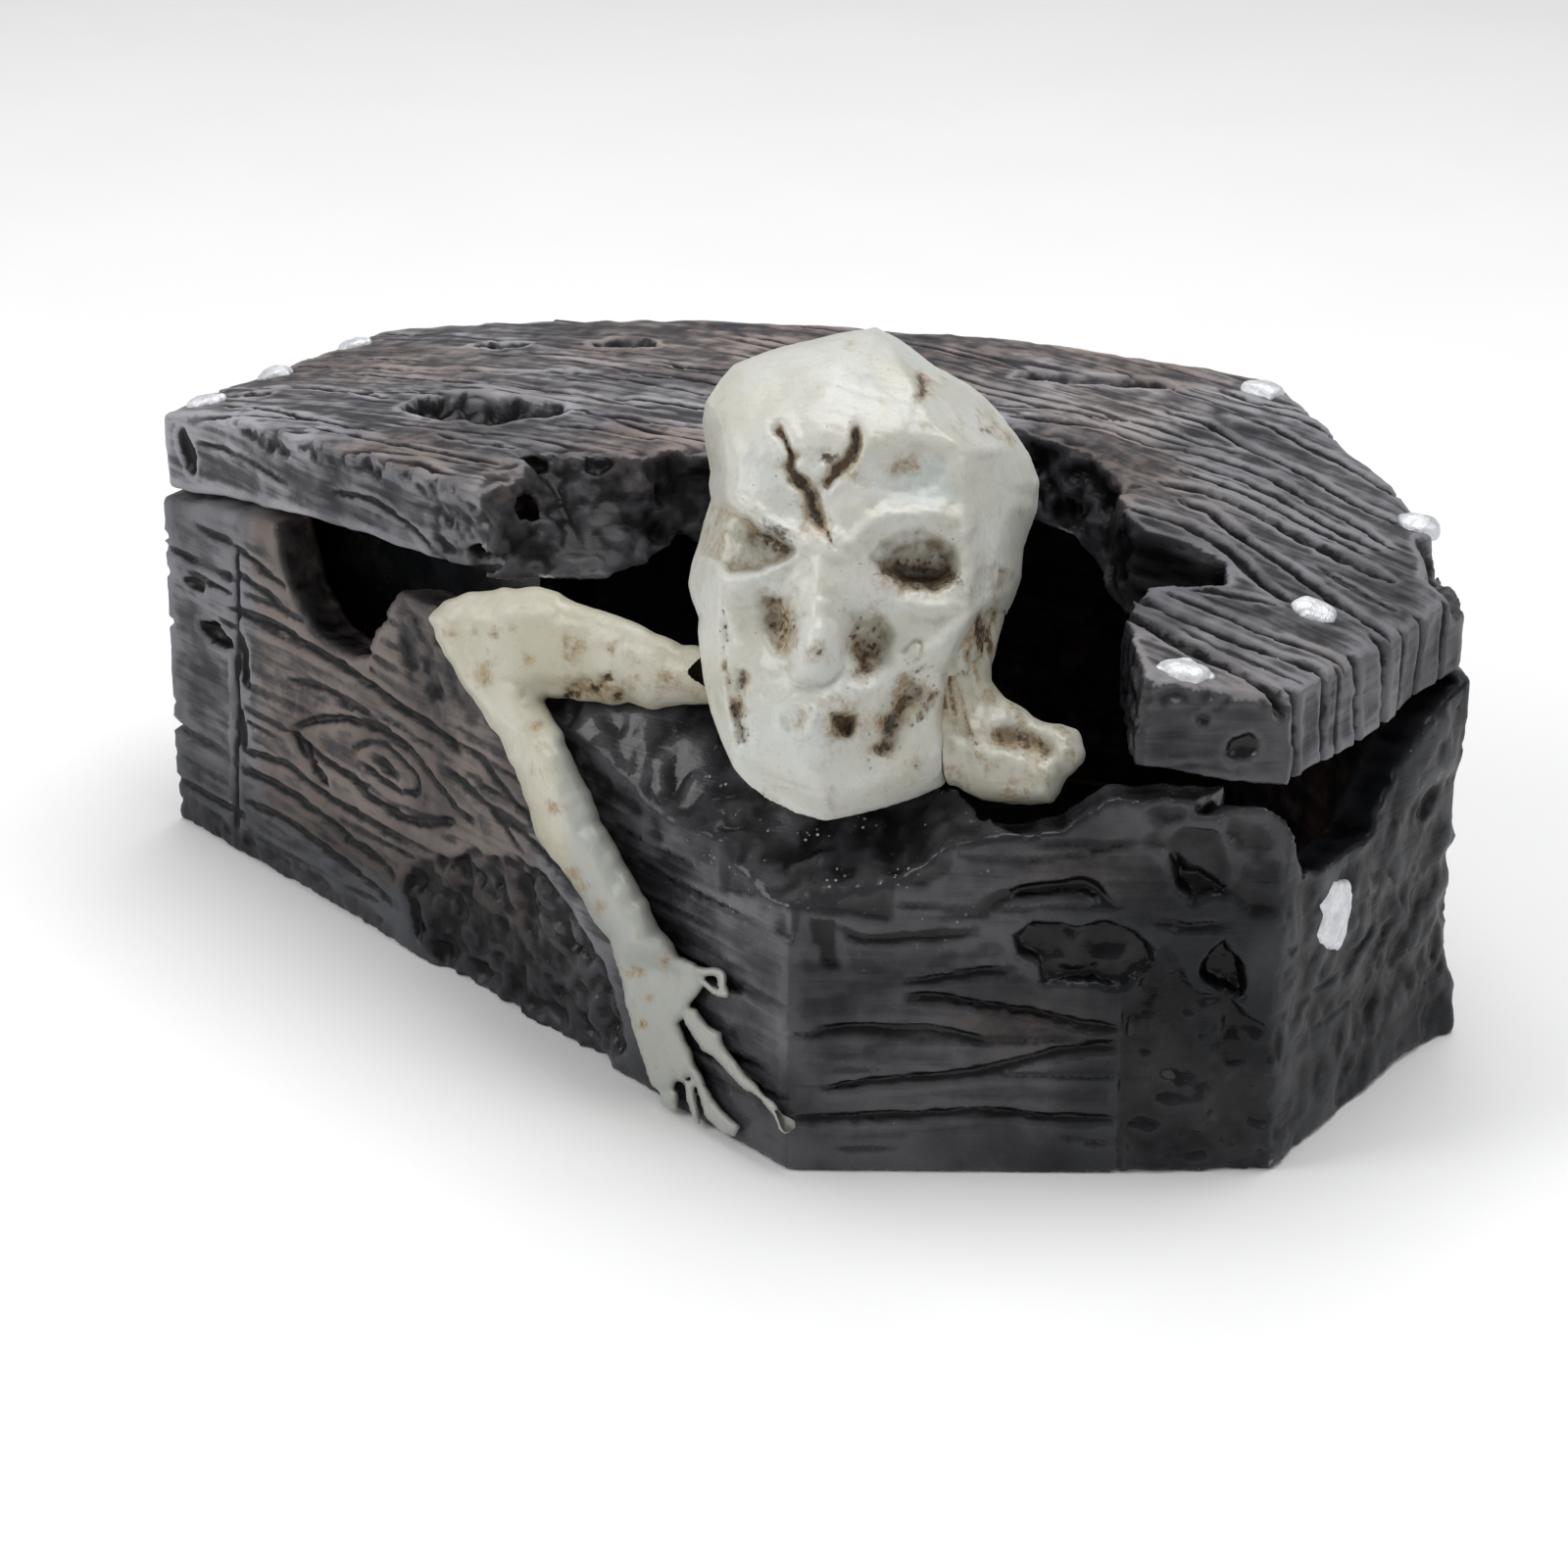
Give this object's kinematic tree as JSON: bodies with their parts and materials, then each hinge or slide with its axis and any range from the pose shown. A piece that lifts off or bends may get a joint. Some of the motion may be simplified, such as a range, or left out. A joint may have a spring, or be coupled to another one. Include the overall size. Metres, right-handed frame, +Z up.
{
  "type": "bubbling ornament",
  "caption": "Air-lifted aquarium ornament: weathered coffin with a hinged broken lid and a skeleton leaning out of its side.",
  "frame": {"origin": "on the flat underside of the coffin base, at mid length", "axes": "+X along the coffin towards its head end, -Y towards the broken side with the arm, +Z up"},
  "size_m": [0.1262, 0.0862, 0.0677],
  "materials": {
    "painted_resin_wood": "charcoal paint, dry-brushed grey-brown, lacquered",
    "painted_resin_lid": "charcoal paint, dry-brushed grey-brown, lacquered",
    "painted_skull": "pale bone paint with an ochre wash, semi-gloss",
    "painted_neck_bone": "bone paint with a brown wash, semi-gloss",
    "painted_arm_bone": "warm ivory paint, semi-gloss",
    "black_hinge_plastic": "moulded, satin",
    "stainless_steel": "drawn wire",
    "retainer_plastic": "moulded, satin",
    "smoked_plastic": "moulded, smooth",
    "nipple_plastic": "moulded, smooth",
    "stem_plastic": "moulded, smooth",
    "grommet_rubber": "matt",
    "silicone_hose": "translucent, smooth",
    "sintered_stone": "rough, porous",
    "clip_plastic": "moulded, satin"
  },
  "bodies": {
    "coffin": {"coffin_base": "painted_resin_wood", "skull": "painted_skull", "neck_and_collarbone": "painted_neck_bone", "arm_and_hand": "painted_arm_bone", "hinge_lug_foot": "black_hinge_plastic", "hinge_lug_head": "black_hinge_plastic", "hinge_pin_foot": "stainless_steel", "hinge_pin_head": "stainless_steel", "pin_retainer_foot": "retainer_plastic", "pin_retainer_head": "retainer_plastic", "air_inlet_nipple": "nipple_plastic", "inlet_grommet": "grommet_rubber", "air_hose": "silicone_hose", "air_stone": "sintered_stone", "air_stone_stem": "stem_plastic", "stone_clip_foot": "clip_plastic", "stone_clip_head": "clip_plastic"},
    "lid": {"coffin_lid": "painted_resin_lid", "hinge_knuckle_foot": "black_hinge_plastic", "hinge_knuckle_head": "black_hinge_plastic", "air_bell": "smoked_plastic", "bell_screw_foot": "stainless_steel", "bell_screw_head": "stainless_steel"}
  },
  "joints": [
    {"name": "lid_hinge", "type": "hinge", "parent": "coffin", "child": "lid", "pos_m": [-0.01595, 0.03417, 0.0405], "axis": [-0.9581, -0.2865, 0], "range_deg": [0, 26]}
  ]
}
